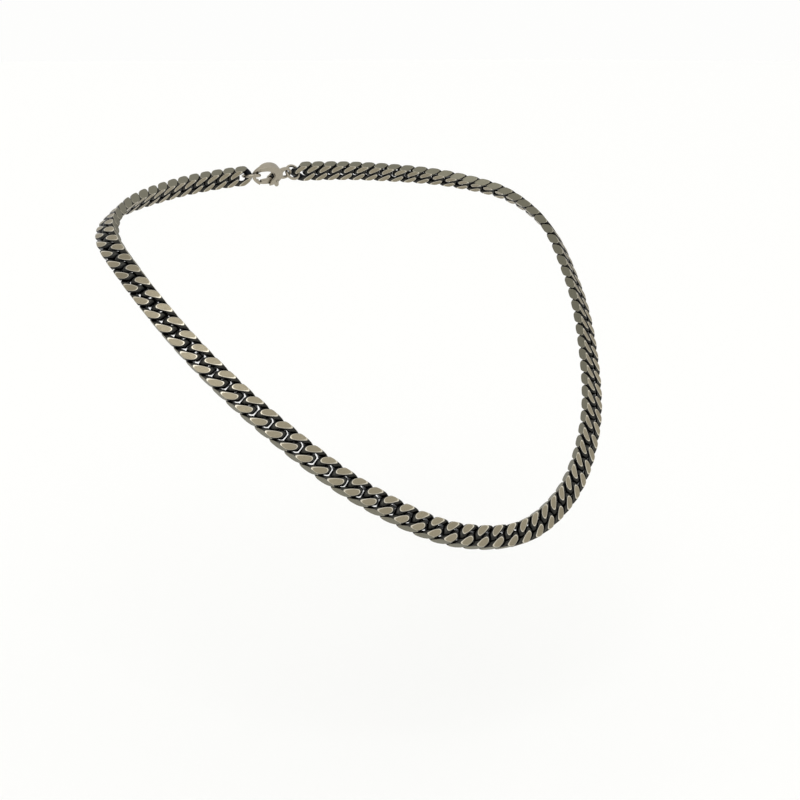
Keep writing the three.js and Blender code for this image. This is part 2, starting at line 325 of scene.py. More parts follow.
@dataclass(frozen=True)
class LinkShape:
    """One flat-cut curb link in its own frame, in millimetres.

    The wire's centreline is an oval whose two end bows are turned opposite ways out of its plane.
    """

    half_length: float = 3.74
    half_width: float = 2.75
    wire_radius: float = 0.91
    side_swell: float = 0.55
    bow_swell: float = 0.50
    inner_swell: float = 0.48
    gap: float = 0.15
    loose_gap: float = 0.34
    smoothing: int = 3
    twist: float = math.radians(41)
    quick_turn: float = 0.35
    width: float = 6.3
    thickness: float = 2.9
    rim: float = 0.26
    stations: int = 88
    sides: int = 30

    def centreline(self) -> np.ndarray:
        """Points of the wire's closed centreline, evenly stepped."""
        angle = np.linspace(0, 2 * math.pi, self.stations * 16, endpoint=False)
        across = self.half_width * np.sin(angle)
        turn = -self.twist * np.cos(angle) * (1 - self.quick_turn * np.cos(2 * angle) ** 2)
        line = np.stack([
            self.half_length * np.cos(angle), across * np.cos(turn), across * np.sin(turn),
        ], axis=1)
        steps = np.linalg.norm(np.roll(line, -1, axis=0) - line, axis=1)
        travelled = np.concatenate([[0.0], np.cumsum(steps)])
        wanted = np.linspace(0, travelled[-1], self.stations, endpoint=False)
        closed = np.vstack([line, line[:1]])
        return np.stack([np.interp(wanted, travelled, closed[:, k]) for k in range(3)], axis=1)

    def thickness_along(self) -> np.ndarray:
        """The wire's radius at each station: pressed fuller at the long sides and at the end bows."""
        line = self.centreline()
        lengthwise = np.abs(line[:, 0]) / self.half_length
        crosswise = 1 - lengthwise**2
        return self.wire_radius + self.side_swell * crosswise**3 + self.bow_swell * lengthwise**6

    def directions(self, line: np.ndarray) -> np.ndarray:
        """Unit vectors from the centreline to each side of the wire, stations by sides by 3."""
        tangent = np.roll(line, -1, axis=0) - np.roll(line, 1, axis=0)
        tangent /= np.linalg.norm(tangent, axis=1)[:, None]
        outward = line - tangent * np.sum(line * tangent, axis=1)[:, None]
        outward /= np.linalg.norm(outward, axis=1)[:, None]
        beside = np.cross(tangent, outward)
        angle = np.linspace(0, 2 * math.pi, self.sides, endpoint=False)[None, :, None]
        return outward[:, None] * np.cos(angle) + beside[:, None] * np.sin(angle)

    def pressed_wire(self, pitch: float, gap: float) -> np.ndarray:
        """Vertices of the wire before it is ground, stations by sides by 3.

        The links are pressed together, so the wire is as thick as it was drawn where it is free, and
        elsewhere as thick as its neighbours leave room for.

        Args:
            pitch: from one link to the next.
            gap: left between it and its neighbours.
        """
        line = self.centreline()
        ways = self.directions(line)
        thickness = self.thickness_along()
        shares = np.linspace(0.5, 1.0, 36)
        facing = np.linspace(0, 2 * math.pi, self.sides, endpoint=False)
        fuller = 1 + self.inner_swell * np.maximum(0, -np.cos(facing)) ** 4
        others = np.vstack([line + (step * pitch, 0, 0) for step in (-2, -1, 1, 2)])
        reach = np.empty(ways.shape[:2])
        for station, (middle, fan) in enumerate(zip(line, ways)):
            radii = fuller[:, None] * shares * thickness[station]
            points = middle + fan[:, None] * radii[..., None]
            to_others = np.linalg.norm(points[:, :, None] - others, axis=3).min(axis=2)
            to_own = np.linalg.norm(points[:, :, None] - line, axis=3).min(axis=2)
            fits = (to_others >= radii + gap) & (to_own >= radii - 0.02)
            steps = np.logical_and.accumulate(fits, axis=1).sum(axis=1)
            reach[station] = radii[np.arange(self.sides), np.maximum(steps - 1, 0)]
        for _ in range(self.smoothing):
            around = sum(np.roll(reach, step, axis) for step in (-1, 1) for axis in (0, 1)) / 4
            reach = np.minimum(reach, (reach + around) / 2)
        return line[:, None] + ways * reach[..., None]

    def ground(self, wire: np.ndarray) -> np.ndarray:
        """The wire with its front, back and both edges ground flat and their rims rounded."""
        cut = wire.copy()
        cut[..., 1] = level_off(wire[..., 1], self.width / 2, self.rim)
        cut[..., 2] = level_off(wire[..., 2], self.thickness / 2, self.rim)
        return cut

    def openness(self, points: np.ndarray, pitch: float) -> np.ndarray:
        """How open each point of the link is, with its neighbours in place.

        Args:
            points: the link's ground vertices, stations by sides by 3.
            pitch: from one link to the next.

        Returns:
            From 0, buried, to 1, in the open, for each vertex.
        """
        flat = points.reshape(-1, 3)
        faces = grid_faces(self.stations, self.sides)
        steps = range(-2, 3)
        all_points = np.vstack([flat + (step * pitch, 0, 0) for step in steps])
        all_faces = [tuple(i + len(flat) * k for i in face) for k in range(len(steps)) for face in faces]
        outwards = (points - self.centreline()[:, None]).reshape(-1, 3)
        return openness_of(flat, outwards, all_points, all_faces)


@dataclass(frozen=True)
class MadeLink:
    """A link's vertices as drawn and as ground, and how open each of them is."""

    wire: np.ndarray
    ground: np.ndarray
    openness: np.ndarray

    @classmethod
    def of_shape(cls, shape: LinkShape, pitch: float, gap: float) -> "MadeLink":
        """Draws and grinds a link.

        Args:
            shape: of the link.
            pitch: from one link to the next.
            gap: left between it and its neighbours.

        Returns:
            The link.
        """
        wire = shape.pressed_wire(pitch, gap)
        ground = shape.ground(wire)
        return cls(wire, ground, shape.openness(ground, pitch))


@dataclass
class Chain:
    """The curb chain: 48 links a side, in pieces of two links, each standing for one CAD node."""

    drape: Drape = field(default_factory=Drape)
    shape: LinkShape = field(default_factory=LinkShape)
    links_per_node: int = 2
    pieces: list[Object] = field(default_factory=list)

    def build(self) -> None:
        """Makes every piece of the chain from a snug link and, where the chain flexes, a looser one."""
        snug = MadeLink.of_shape(self.shape, self.drape.pitch, self.shape.gap)
        loose = MadeLink.of_shape(self.shape, self.drape.pitch, self.shape.loose_gap)
        rng = np.random.default_rng(RNG_SEED)
        for side in Side:
            frames = self.drape.link_frames(side)
            count = len(frames) // self.links_per_node
            nodes = [f"{side.name.lower()}_links_{number + 1:02d}" for number in range(count)]
            bodies = [body_of_node(node) for node in nodes]
            for number, node in enumerate(nodes):
                first = number * self.links_per_node
                pair = frames[first:first + self.links_per_node]
                flexes_before = number > 0 and bodies[number - 1] != bodies[number]
                flexes_after = number + 1 < count and bodies[number + 1] != bodies[number]
                links = [loose if flexes_before else snug, loose if flexes_after else snug]
                self.pieces.append(self._piece(node, pair, links, rng))

    def _piece(
        self, node: str, pair: list[Matrix], links: list[MadeLink], rng: np.random.Generator,
    ) -> Object:
        """Makes the piece for one CAD node.

        Args:
            node: the CAD node it stands for.
            pair: the frames of its links.
            links: the links.
            rng: for the differences between links.

        Returns:
            The new piece.
        """
        placed = []
        for made, frame_of_link in zip(links, pair):
            flat = made.ground.reshape(-1, 3)
            points = np.concatenate([flat, np.ones((len(flat), 1))], axis=1)
            placed.append((points @ np.array(frame_of_link).T)[:, :3])
        count = len(placed[0])
        faces = grid_faces(self.shape.stations, self.shape.sides)
        both = [tuple(i + count * k for i in face) for k in range(len(pair)) for face in faces]
        piece = new_object(f"curb_{node}", np.vstack(placed), both)
        mesh = piece.data
        write_vector(mesh, "drawn", np.vstack([made.wire.reshape(-1, 3) for made in links]))
        write_float(mesh, "open", np.concatenate([made.openness for made in links]))
        shift = rng.uniform(-50, 50, (len(pair), 3))
        shifted = [made.ground.reshape(-1, 3) + row for made, row in zip(links, shift)]
        write_vector(mesh, "grain_at", np.vstack(shifted))
        write_float(mesh, "wear", np.repeat(rng.uniform(0, 1, len(pair)), count))
        return piece

    def dress(self, finish: Material) -> None:
        """Gives every piece its finish and its body, hides the CAD node that it stands for and logs which
        node that is.
        """
        for piece in self.pieces:
            node = piece.name.removeprefix("curb_")
            piece.data.materials.append(finish)
            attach(piece, body_of_node(node))
            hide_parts(node)
            LOG.info("%s stands for %s", piece.name, node)


def body_of_node(node: str) -> str:
    """The CAD body that holds a node."""
    groups = frame["record"]["behaviour"]["bodies"]
    return next(body for body, members in groups.items() if node in members)


# ---- the clasp ----


def prism(name: str, outline: np.ndarray, bottom: float, top: float, axis: str = "Z") -> Object:
    """A closed outline drawn straight through a thickness.

    Args:
        name: of the working solid.
        outline: N by 2 points.
        bottom: where it starts.
        top: where it ends.
        axis: "Z" for an outline in X and Y, or "Y" for one in X and Z.

    Returns:
        The working solid, in millimetres.
    """
    count = len(outline)
    order = (0, 1, 2) if axis == "Z" else (0, 2, 1)
    low = np.column_stack([outline, np.full(count, bottom)])[:, order]
    high = np.column_stack([outline, np.full(count, top)])[:, order]
    around = [(i, (i + 1) % count, count + (i + 1) % count, count + i) for i in range(count)]
    caps = [tuple(reversed(range(count))), tuple(range(count, 2 * count))]
    made = new_object(name, np.vstack([low, high]), around + caps)
    square_up(made.data)
    return made


def square_up(mesh: Mesh) -> None:
    """Turns a closed mesh's faces outwards."""
    working = bmesh.new()
    working.from_mesh(mesh)
    bmesh.ops.recalc_face_normals(working, faces=working.faces)
    working.to_mesh(mesh)
    working.free()


def ellipse(x: float, y: float, half_length: float, half_width: float, steps: int = 64) -> np.ndarray:
    """Points round an ellipse."""
    angle = np.linspace(0, 2 * math.pi, steps, endpoint=False)
    return np.stack([x + half_length * np.cos(angle), y + half_width * np.sin(angle)], axis=1)


def bend(start: tuple, about: tuple, end: tuple, steps: int = 10) -> np.ndarray:
    """Points along a quadratic curve, with both its ends."""
    t = np.linspace(0, 1, steps)[:, None]
    return (1 - t) ** 2 * np.array(start) + 2 * t * (1 - t) * np.array(about) + t**2 * np.array(end)


def carve(base: Object, steps: list[tuple[str, Object]], finish: "Casting") -> Mesh:
    """Joins and cuts working solids, then rounds the result as a tumbled casting.

    Args:
        base: the solid to start from.
        steps: pairs of UNION, DIFFERENCE or INTERSECT and the other solid.
        finish: how finely it is cast and how far its edges are rounded.

    Returns:
        The mesh, in millimetres.
    """
    for operation, other in steps:
        modifier = base.modifiers.new(operation.lower(), "BOOLEAN")
        modifier.operation = operation
        modifier.object = other
        modifier.solver = "EXACT"
    remesh = base.modifiers.new("cast", "REMESH")
    remesh.mode = "VOXEL"
    remesh.voxel_size = finish.grain
    smooth = base.modifiers.new("tumble", "SMOOTH")
    smooth.factor = 0.5
    smooth.iterations = finish.tumbling
    thin = base.modifiers.new("thin", "DECIMATE")
    thin.ratio = finish.keep
    graph = bpy.context.evaluated_depsgraph_get()
    made = bpy.data.meshes.new_from_object(base.evaluated_get(graph))
    for working in [base, *(other for _, other in steps)]:
        bpy.data.objects.remove(working)
    return made


def swept_tube(line: np.ndarray, radius: float, sides: int, closed: bool) -> tuple[np.ndarray, list]:
    """A round wire along a line, with rounded ends where it isn't closed.

    Args:
        line: points along the middle of the wire.
        radius: of the wire.
        sides: round the wire.
        closed: whether the last point joins the first.

    Returns:
        Its vertices and faces.
    """
    if closed:
        tangent = np.roll(line, -1, axis=0) - np.roll(line, 1, axis=0)
    else:
        tangent = np.gradient(line, axis=0)
    tangent /= np.linalg.norm(tangent, axis=1)[:, None]
    normal = np.cross(tangent[0], (0.31, 0.77, 0.55))
    rings = []
    angle = np.linspace(0, 2 * math.pi, sides, endpoint=False)[:, None]
    for middle, way in zip(line, tangent):
        normal = normal - way * np.dot(normal, way)
        normal /= np.linalg.norm(normal)
        beside = np.cross(way, normal)
        rings.append(middle + radius * (np.cos(angle) * normal + np.sin(angle) * beside))
    vertices = np.vstack(rings)
    faces = grid_faces(len(line), sides, close_rows=closed)
    if not closed:
        tips = [line[0] - tangent[0] * radius * 0.35, line[-1] + tangent[-1] * radius * 0.35]
        first, last = len(vertices), len(vertices) + 1
        end = (len(line) - 1) * sides
        vertices = np.vstack([vertices, tips])
        faces += [(first, (i + 1) % sides, i) for i in range(sides)]
        faces += [(last, end + i, end + (i + 1) % sides) for i in range(sides)]
    return vertices, faces


@dataclass(frozen=True)
class Casting:
    """How a cast piece is finished, in millimetres."""

    grain: float = 0.085
    tumbling: int = 8
    keep: float = 0.30


@dataclass(frozen=True)
class Ring:
    """A ring of round wire, with the thin joint where it was closed."""

    radius: float
    wire: float
    joint: float = 0.05
    joint_at: float = math.radians(205)
    steps: int = 96
    sides: int = 20

    def mesh(self, middle: float, tilt: float) -> tuple[np.ndarray, list]:
        """The ring's vertices and faces.

        Args:
            middle: its centre along X.
            tilt: how far it leans about X from lying across the chain.

        Returns:
            Vertices in millimetres, and faces.
        """
        half = self.joint / self.radius / 2
        angle = self.joint_at + np.linspace(half, 2 * math.pi - half, self.steps)
        x = self.radius * np.cos(angle)
        around = self.radius * np.sin(angle)
        turn = math.pi / 2 + tilt
        line = np.stack([middle + x, around * math.cos(turn), around * math.sin(turn)], axis=1)
        return swept_tube(line, self.wire, self.sides, closed=False)


@dataclass(frozen=True)
class Lever:
    """The sprung lever's outline in the clasp's own frame, and its thickness."""

    root: Pair = (-2.1, -1.1)
    inner_bend: Pair = (1.2, -1.6)
    nose_top: Pair = (4.0, -2.05)
    nose_bottom: Pair = (4.45, -3.2)
    outer_bend: Pair = (1.6, -3.75)
    thumb_start: Pair = (-1.2, -3.3)
    thumb_tip: Pair = (-2.3, -4.9)
    thumb_bend: Pair = (-3.2, -5.1)
    thumb_end: Pair = (-3.5, -4.4)
    heel: Pair = (-3.0, -2.2)
    heel_bend: Pair = (-2.85, -1.3)
    bottom: float = -0.85
    top: float = 0.25

    def outline(self) -> np.ndarray:
        """Points round the lever."""
        return np.vstack([
            bend(self.root, self.inner_bend, self.nose_top),
            bend(self.nose_bottom, self.outer_bend, self.thumb_start),
            bend(self.thumb_tip, self.thumb_bend, self.thumb_end),
            bend(self.heel, self.heel_bend, self.root)[:-1],
        ])


@dataclass(frozen=True)
class Spring:
    """The torsion spring: a coil round the pin with a leg at each end."""

    radius: float = 0.74
    wire: float = 0.12
    turns: float = 2.5
    bottom: float = 0.42
    top: float = 0.82
    leg: float = 1.4
    leg_share: float = 0.12
    steps: int = 180
    sides: int = 12

    def mesh(self, pivot: Pair) -> tuple[np.ndarray, list]:
        """The spring's vertices and faces, round a pivot."""
        t = np.linspace(0, 1, self.steps)
        coiled = np.clip((t - self.leg_share) / (1 - 2 * self.leg_share), 0, 1)
        angle = 2 * math.pi * self.turns * coiled
        at_ends = np.maximum(0, t - 1 + self.leg_share) - np.maximum(0, self.leg_share - t)
        line = np.stack([
            pivot[0] + self.radius * np.sin(angle) + self.leg * at_ends / self.leg_share,
            pivot[1] - self.radius * np.cos(angle),
            self.bottom + (self.top - self.bottom) * t,
        ], axis=1)
        return swept_tube(line, self.wire, self.sides, closed=False)


@dataclass
class Clasp:
    """The lobster clasp at the nape and the rings that join it to the chain, in millimetres.

    Its own frame has X along the chain, Y across it and Z out of its face.
    """

    drape: Drape
    link_half_length: float = 3.7
    link_wire: float = 0.97
    play: float = 0.1
    eye_play: float = 0.35
    hook_play: float = 0.5
    ring_tilt: float = math.radians(32)
    jump_ring: Ring = Ring(2.45, 0.5)
    catch_ring: Ring = Ring(2.8, 0.55)
    thickness: float = 3.4
    end_thickness: float = 1.2
    full_until: float = 0.5
    thins_about: float = 4.0
    half_width: float = 3.9
    hook_wall: float = 1.2
    eye_outer: float = 2.25
    eye_hole: float = 1.35
    eye_thickness: float = 0.9
    eye_root: float = 0.6
    eye_shoulder: float = 0.7
    opening_half_length: float = 3.55
    opening_half_width: float = 2.35
    opening_y: float = -0.2
    pivot: Pair = (-1.9, -2.0)
    pin_radius: float = 0.4
    pin_hole: float = 0.48
    pin_stands_out: float = 0.15
    pin_dome: float = 0.12
    gate_mouth: Pair = (1.2, 4.9)
    gate_throat: Pair = (0.2, 4.1)
    gate_top: float = 0.0
    slot_mouth: Pair = (-4.4, 3.0)
    slot_roof: Pair = (-3.3, 3.0)
    slot_roof_y: float = -0.2
    slot_bottom: float = -0.95
    slot_top: float = 1.0
    below: float = -6.0
    lever: Lever = Lever()
    spring: Spring = Spring()
    body_casting: Casting = Casting()
    lever_casting: Casting = Casting(grain=0.06, tumbling=6, keep=0.35)
    pieces: dict[str, Object] = field(default_factory=dict)

    def __post_init__(self) -> None:
        """Works out where the eye and the hook are from the rings."""
        bow_inside = self.drape.last_gap() - self.link_half_length + self.link_wire
        self.jump_middle = bow_inside + self.play + self.jump_ring.wire - self.jump_ring.radius
        self.catch_middle = bow_inside + self.play + self.catch_ring.wire - self.catch_ring.radius
        self.eye_x = (
            self.jump_ring.radius - self.jump_middle - self.jump_ring.wire - self.eye_play + self.eye_hole
        )
        self.hook_end = self.catch_middle - self.catch_ring.radius + self.catch_ring.wire + self.hook_play
        self.start = self.eye_x + self.eye_hole + self.eye_shoulder
        self.end = self.hook_end + self.hook_wall

    def _opening_below(self, mouth: tuple, top: tuple, top_y: float) -> np.ndarray:
        """A four-sided cut that is open below, from its X limits at the mouth and at the top."""
        low = [(mouth[0], self.below), (mouth[1], self.below)]
        return np.array([*low, (top[1], top_y), (top[0], top_y)])

    def _body(self) -> Mesh:
        """The claw's body: eye, cheeks and hook in one casting."""
        middle = (self.start + self.end) / 2
        plan = prism(
            "plan", ellipse(middle, 0, (self.end - self.start) / 2, self.half_width, 96), -3.0, 3.0,
        )
        full = self.thickness / 2
        thin = self.end_thickness / 2
        taper = bend((self.full_until, full), (self.thins_about, full), (self.end - 2, thin))
        upper = np.vstack([(self.start - 1, full), taper, (self.end + 1, thin)])
        edge_view = prism(
            "edge_view", np.vstack([upper, upper[::-1] * (1, -1)]),
            -self.half_width - 1, self.half_width + 1, "Y",
        )
        eye = prism(
            "eye", ellipse(self.eye_x + self.eye_root, 0, self.eye_outer + self.eye_root, self.eye_outer),
            -self.eye_thickness / 2, self.eye_thickness / 2,
        )
        through = self.thickness
        cuts = [
            prism("eye_hole", ellipse(self.eye_x, 0, self.eye_hole, self.eye_hole), -through, through),
            prism(
                "hook",
                ellipse(
                    self.hook_end - self.opening_half_length, self.opening_y,
                    self.opening_half_length, self.opening_half_width, 80,
                ),
                -through, through,
            ),
            prism(
                "gate", self._opening_below(self.gate_mouth, self.gate_throat, self.gate_top),
                -through, through,
            ),
            prism(
                "slot", self._opening_below(self.slot_mouth, self.slot_roof, self.slot_roof_y),
                self.slot_bottom, self.slot_top,
            ),
            prism("pin_hole", ellipse(*self.pivot, self.pin_hole, self.pin_hole, 32), -through, through),
        ]
        steps = [("INTERSECT", edge_view), ("UNION", eye)] + [("DIFFERENCE", cut) for cut in cuts]
        return carve(plan, steps, self.body_casting)

    def _lever(self) -> Mesh:
        """The sprung lever that closes the hook, with its thumb piece."""
        bar = prism("bar", self.lever.outline(), self.lever.bottom, self.lever.top)
        hole = prism("bore", ellipse(*self.pivot, self.pin_hole, self.pin_hole, 32), -2.0, 2.0)
        return carve(bar, [("DIFFERENCE", hole)], self.lever_casting)

    def _pin(self) -> tuple[np.ndarray, list]:
        """The pin, with a low dome on each end."""
        reach = self.thickness / 2 + self.pin_stands_out
        sides = 32
        angle = np.linspace(0, math.pi / 2, 6)[:-1]
        low = [
            (self.pin_radius * math.sin(a), -reach + self.pin_dome * (1 - math.cos(a))) for a in angle[1:]
        ]
        profile = [*low, (self.pin_radius, -reach + self.pin_dome), (self.pin_radius, reach - self.pin_dome)]
        profile += [(radius, -height) for radius, height in reversed(low)]
        turn = np.linspace(0, 2 * math.pi, sides, endpoint=False)
        rings = [
            np.stack([
                self.pivot[0] + radius * np.cos(turn), self.pivot[1] + radius * np.sin(turn),
                np.full(sides, height),
            ], axis=1)
            for radius, height in profile
        ]
        tips = [(*self.pivot, -reach), (*self.pivot, reach)]
        vertices = np.vstack([*rings, tips])
        faces = [tuple(reversed(face)) for face in grid_faces(len(profile), sides, close_rows=False)]
        first = len(profile) * sides
        end = first - sides
        faces += [(first, (i + 1) % sides, i) for i in range(sides)]
        faces += [(first + 1, end + i, end + (i + 1) % sides) for i in range(sides)]
        return vertices, faces

    def build(self) -> None:
        """Makes the clasp's pieces in place."""
        loose = {
            "clasp_jump_ring": self.jump_ring.mesh(-self.jump_middle, -self.ring_tilt),
            "catch_ring": self.catch_ring.mesh(self.catch_middle, self.ring_tilt),
            "lever_pin": self._pin(),
            "clasp_spring": self.spring.mesh(self.pivot),
        }
        for node, (vertices, faces) in loose.items():
            self.pieces[node] = new_object(f"fine_{node}", vertices, faces)
        for node, mesh in (("clasp_body", self._body()), ("clasp_lever", self._lever())):
            mesh.name = f"fine_{node}"
            made = bpy.data.objects.new(mesh.name, mesh)
            bpy.context.scene.collection.objects.link(made)
            self.pieces[node] = made
        self._read_openness()
        for piece in self.pieces.values():
            piece.data.transform(self.drape.nape_frame())

    def _read_openness(self) -> None:
        """Stores each piece's own coordinates and how open its surface is among the others."""
        near_points = []
        near_faces = []
        for piece in self.pieces.values():
            start = len(near_points)
            near_points.extend(tuple(vertex.co) for vertex in piece.data.vertices)
            near_faces.extend(tuple(start + i for i in face.vertices) for face in piece.data.polygons)
        for piece in self.pieces.values():
            mesh = piece.data
            square_up(mesh)
            points = np.array([vertex.co for vertex in mesh.vertices])
            outwards = np.array([vertex.normal for vertex in mesh.vertices])
            write_float(mesh, "open", openness_of(points, outwards, np.array(near_points), near_faces))
            write_vector(mesh, "grain_at", points)
            mesh.polygons.foreach_set("use_smooth", [True] * len(mesh.polygons))

    def dress(self, metal: Material, spring_wire: Material) -> None:
        """Gives every piece its finish and its body, hides the CAD node that it stands for and logs which
        node that is.
        """
        for node, piece in self.pieces.items():
            is_spring = node == "clasp_spring"
            piece.data.materials.clear()
            piece.data.materials.append(spring_wire if is_spring else metal)
            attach(piece, body_of_node(node))
            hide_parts(node)
            LOG.info("%s stands for %s", piece.name, node)


# ---- finishes ----


@dataclass(frozen=True)
class BlackenedMetal:
    """Metal that was blackened all over and then brushed bare where it was ground flat."""

    name: str = "blackened_chain"
    bare: Triple = (0.355, 0.312, 0.222)
    # rim is a painted highlight: the colour painted on the rounded rims of the flats, far brighter than the
    # bare metal, in place of the light that they catch.
    rim: Triple = (0.62, 0.575, 0.47)
    # edge is painted shade on the edge flats: the same bare metal as the face flats, painted darker as if
    # turned from the light. It is also the tone that the blackening is rubbed towards where it lies open.
    edge: Triple = (0.19, 0.18, 0.135)
    black: Triple = (0.012, 0.013, 0.016)
    bare_roughness: float = 0.44
    black_roughness: float = 0.34


@dataclass(frozen=True)
class CastMetal:
    """The clasp's and rings' metal: satin, with the blackening left in its hollows."""

    name: str = "clasp_metal"
    bare: Triple = (0.40, 0.36, 0.285)
    black: Triple = (0.035, 0.034, 0.032)
    roughness: float = 0.34


@dataclass(frozen=True)
class DrawnWire:
    """Bright drawn spring wire."""

    name: str = "spring_steel"
    colour: Triple = (0.60, 0.60, 0.58)
    roughness: float = 0.24


def link(tree: NodeTree, source: NodeSocket, target: NodeSocket) -> None:
    """Joins two sockets."""
    tree.links.new(source, target)


def add_math(
    tree: NodeTree, operation: str, first: object, second: object = None, clamp: bool = False,
) -> NodeSocket:
    """Adds a math node.

    Args:
        tree: to add it to.
        operation: its name in Blender.
        first: a socket or a number.
        second: a socket, a number or None.
        clamp: holds the result between 0 and 1.

    Returns:
        Its output.
    """
    node = tree.nodes.new("ShaderNodeMath")
    node.operation = operation
    node.use_clamp = clamp
    for socket, value in zip(node.inputs, (first, second)):
        if isinstance(value, NodeSocket):
            link(tree, value, socket)
        elif value is not None:
            socket.default_value = value
    return node.outputs[0]


def add_range(
    tree: NodeTree, value: NodeSocket, low: float, high: float,
    to_low: float = 0.0, to_high: float = 1.0,
) -> NodeSocket:
    """Adds a smooth map from low..high to to_low..to_high and returns its output."""
    node = tree.nodes.new("ShaderNodeMapRange")
    node.interpolation_type = "SMOOTHSTEP"
    link(tree, value, node.inputs["Value"])
    for name, number in (("From Min", low), ("From Max", high), ("To Min", to_low), ("To Max", to_high)):
        node.inputs[name].default_value = number
    return node.outputs["Result"]


def add_mix(tree: NodeTree, share: NodeSocket, first: object, second: object) -> NodeSocket:
    """Adds a colour mix of two colours or sockets and returns its output."""
    node = tree.nodes.new("ShaderNodeMix")
    node.data_type = "RGBA"
    link(tree, share, node.inputs["Factor"])
    for socket, value in ((node.inputs[6], first), (node.inputs[7], second)):
        if isinstance(value, NodeSocket):
            link(tree, value, socket)
        else:
            socket.default_value = (*value, 1.0)
    return node.outputs[2]


def add_attribute(tree: NodeTree, name: str) -> Node:
    """Adds a node that reads a stored vertex value."""
    node = tree.nodes.new("ShaderNodeAttribute")
    node.attribute_name = name
    return node


def new_group(
    name: str, inputs: list[tuple[str, str, object]], outputs: list[tuple[str, str]],
) -> tuple[NodeTree, Node, Node]:
    """Makes a shader node group.

    Args:
        name: of the group.
        inputs: the name, kind and default value of each input.
        outputs: the name and kind of each output.

    Returns:
        The group with its input and output nodes.
    """
    group = bpy.data.node_groups.new(name, "ShaderNodeTree")
    for label, kind, value in inputs:
        socket = group.interface.new_socket(name=label, in_out="INPUT", socket_type=kind)
        if value is not None:
            socket.default_value = value
    for label, kind in outputs:
        group.interface.new_socket(name=label, in_out="OUTPUT", socket_type=kind)
    return group, group.nodes.new("NodeGroupInput"), group.nodes.new("NodeGroupOutput")


def brushed_grain_group() -> NodeTree:
    """Fine brush lines and speckle left on bare metal, as a mask and a height."""
    group, source, out = new_group(
        "brushed_grain",
        [
            ("Vector", "NodeSocketVector", (0, 0, 0)),
            ("Stretch", "NodeSocketVector", (1, 8, 8)),
            ("Scale", "NodeSocketFloat", 1.0),
        ],
        [("Lines", "NodeSocketFloat"), ("Mottle", "NodeSocketFloat"), ("Height", "NodeSocketFloat")],
    )
    stretched = group.nodes.new("ShaderNodeVectorMath")
    stretched.operation = "MULTIPLY"
    link(group, source.outputs["Vector"], stretched.inputs[0])
    link(group, source.outputs["Stretch"], stretched.inputs[1])
    lines = group.nodes.new("ShaderNodeTexNoise")
    lines.inputs["Detail"].default_value = 3.0
    lines.inputs["Roughness"].default_value = 0.6
    link(group, stretched.outputs[0], lines.inputs["Vector"])
    link(group, source.outputs["Scale"], lines.inputs["Scale"])
    mottle = group.nodes.new("ShaderNodeTexNoise")
    mottle.inputs["Scale"].default_value = 1.6
    mottle.inputs["Detail"].default_value = 4.0
    link(group, source.outputs["Vector"], mottle.inputs["Vector"])
    link(group, lines.outputs["Fac"], out.inputs["Lines"])
    link(group, mottle.outputs["Fac"], out.inputs["Mottle"])
    fine = add_math(group, "MULTIPLY", lines.outputs["Fac"], 0.7)
    broad = add_math(group, "MULTIPLY", mottle.outputs["Fac"], 0.3)
    link(group, add_math(group, "ADD", fine, broad), out.inputs["Height"])
    return group


def ground_flats_group() -> NodeTree:
    """Where a link was ground: the flats on its faces and edges, and their rims.

    Past Face and Past Edge are how far the drawn wire stood beyond the flat, in millimetres.
    """
    group, source, out = new_group(
        "ground_flats",
        [
            ("Past Face", "NodeSocketFloat", 0.0),
            ("Past Edge", "NodeSocketFloat", 0.0),
            ("Ragged", "NodeSocketFloat", 0.5),
        ],
        [("Face", "NodeSocketFloat"), ("Edge", "NodeSocketFloat"), ("Rim", "NodeSocketFloat")],
    )
    uneven = add_math(group, "MULTIPLY", add_math(group, "SUBTRACT", source.outputs["Ragged"], 0.5), 0.08)
    face_depth = add_math(group, "ADD", source.outputs["Past Face"], uneven)
    edge_depth = add_math(group, "ADD", source.outputs["Past Edge"], uneven)
    face = add_range(group, face_depth, 0.08, 0.14)
    edge = add_range(group, edge_depth, -0.03, 0.03)
    link(group, face, out.inputs["Face"])
    link(group, edge, out.inputs["Edge"])
    # Painted highlight: a band round the face flats, and at half strength round the edge flats, marks where
    # a bright colour is painted in for the light that the rounded rims catch.
    inside = add_range(group, source.outputs["Past Face"], 0.13, 0.21, 1.0, 0.0)
    outside = add_range(group, source.outputs["Past Face"], 0.05, 0.10)
    face_rim_highlight = add_math(group, "MULTIPLY", inside, outside)
    edge_inside = add_range(group, source.outputs["Past Edge"], 0.02, 0.10, 1.0, 0.0)
    edge_outside = add_range(group, source.outputs["Past Edge"], -0.08, -0.02)
    edge_rim_highlight = add_math(group, "MULTIPLY", edge_inside, edge_outside)
    soft_edge_rim_highlight = add_math(group, "MULTIPLY", edge_rim_highlight, 0.5)
    link(group, add_math(group, "MAXIMUM", face_rim_highlight, soft_edge_rim_highlight), out.inputs["Rim"])
    return group


